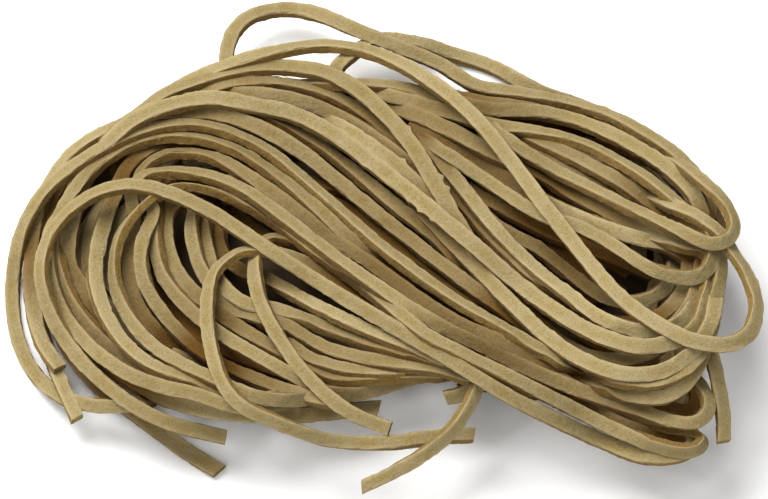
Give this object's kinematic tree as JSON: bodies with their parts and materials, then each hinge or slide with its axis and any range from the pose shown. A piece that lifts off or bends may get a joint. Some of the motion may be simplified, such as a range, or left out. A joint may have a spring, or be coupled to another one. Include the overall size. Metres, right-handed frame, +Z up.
{
  "type": "leather lace bundle",
  "caption": "Loose skein of flat natural suede laces, coiled and laid flat with several cut ends trailing.",
  "frame": {"origin": "centre of the bundle's bounding box, on the surface it lies on", "axes": "+Z up from the surface; +X along the bundle's length, from the end where the laces turn round to the folded end; +Y away from the viewer"},
  "size_m": [0.1894, 0.1418, 0.0341],
  "materials": {
    "suede": "matt napped suede, natural tan"
  },
  "bodies": {
    "root": {"lace_bundle": "suede"}
  },
  "joints": []
}
